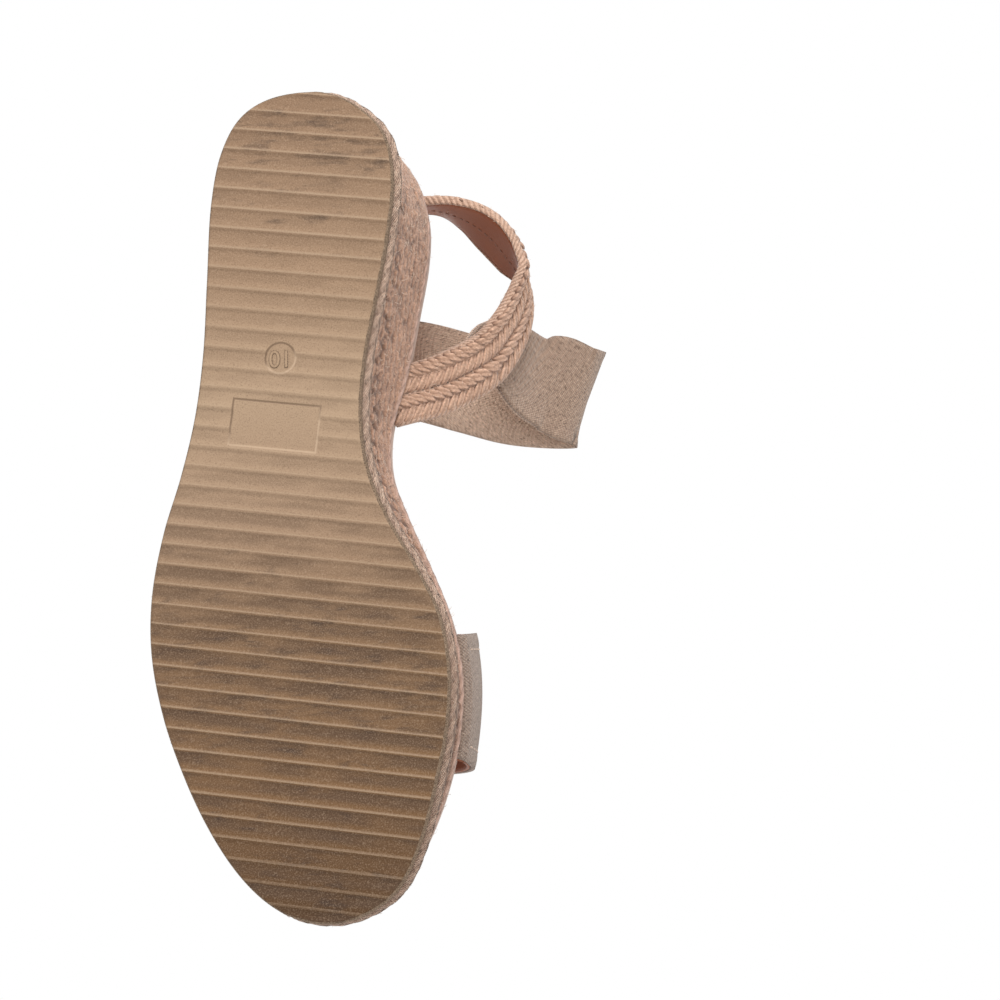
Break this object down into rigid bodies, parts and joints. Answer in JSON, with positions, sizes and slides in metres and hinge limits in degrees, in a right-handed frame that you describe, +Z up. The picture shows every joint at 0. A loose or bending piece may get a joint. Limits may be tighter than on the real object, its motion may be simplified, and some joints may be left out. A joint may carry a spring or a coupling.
{
  "type": "wedge sandal",
  "caption": "Left-foot open-toed wedge sandal with a ribbed rubber sole, a rope-wrapped wedge, a wide vamp and a braided ankle strap with an elastic instep band.",
  "frame": {"origin": "on the ground, under the middle of the outsole's length and width", "axes": "+Z up, +Y towards the heel, -Y towards the toe, -X the inner (medial) side of a left foot"},
  "size_m": [0.1383, 0.2678, 0.0977],
  "materials": {
    "outsole": "matt, saw-tooth ribs",
    "rope": "braided jute rope",
    "core": "pressed cork",
    "jute": "rows of jute cord",
    "board": "fibre board",
    "cushion": "foam",
    "lining": "smooth lining",
    "linen": "linen weave",
    "braid": "flat jute braid"
  },
  "bodies": {
    "shoe": {"outsole": "outsole", "sole_edge_braid": "rope", "wedge_core": "core", "jute_wrap": "jute", "insole_board": "board", "cushion_pad": "cushion", "sock_lining": "lining", "inner_strap_tab": "linen", "outer_strap_tab": "linen", "inner_vamp_tab": "linen", "outer_vamp_tab": "linen", "vamp_linen": "linen", "vamp_lining": "lining", "inner_leg_front_braid": "braid", "inner_leg_rear_braid": "braid", "inner_leg_lining": "lining", "outer_leg_front_braid": "braid", "outer_leg_rear_braid": "braid", "outer_leg_lining": "lining"},
    "ankle_strap": {"sling_front_braid": "braid", "sling_rear_braid": "braid", "sling_lining": "lining", "instep_band_face": "linen", "instep_band_backing": "linen"}
  },
  "joints": [
    {"name": "ankle_strap_swing", "type": "hinge", "parent": "shoe", "child": "ankle_strap", "pos_m": [0, 0.0459, 0.0517], "axis": [1, 0, 0], "range_deg": [0, 45]}
  ]
}
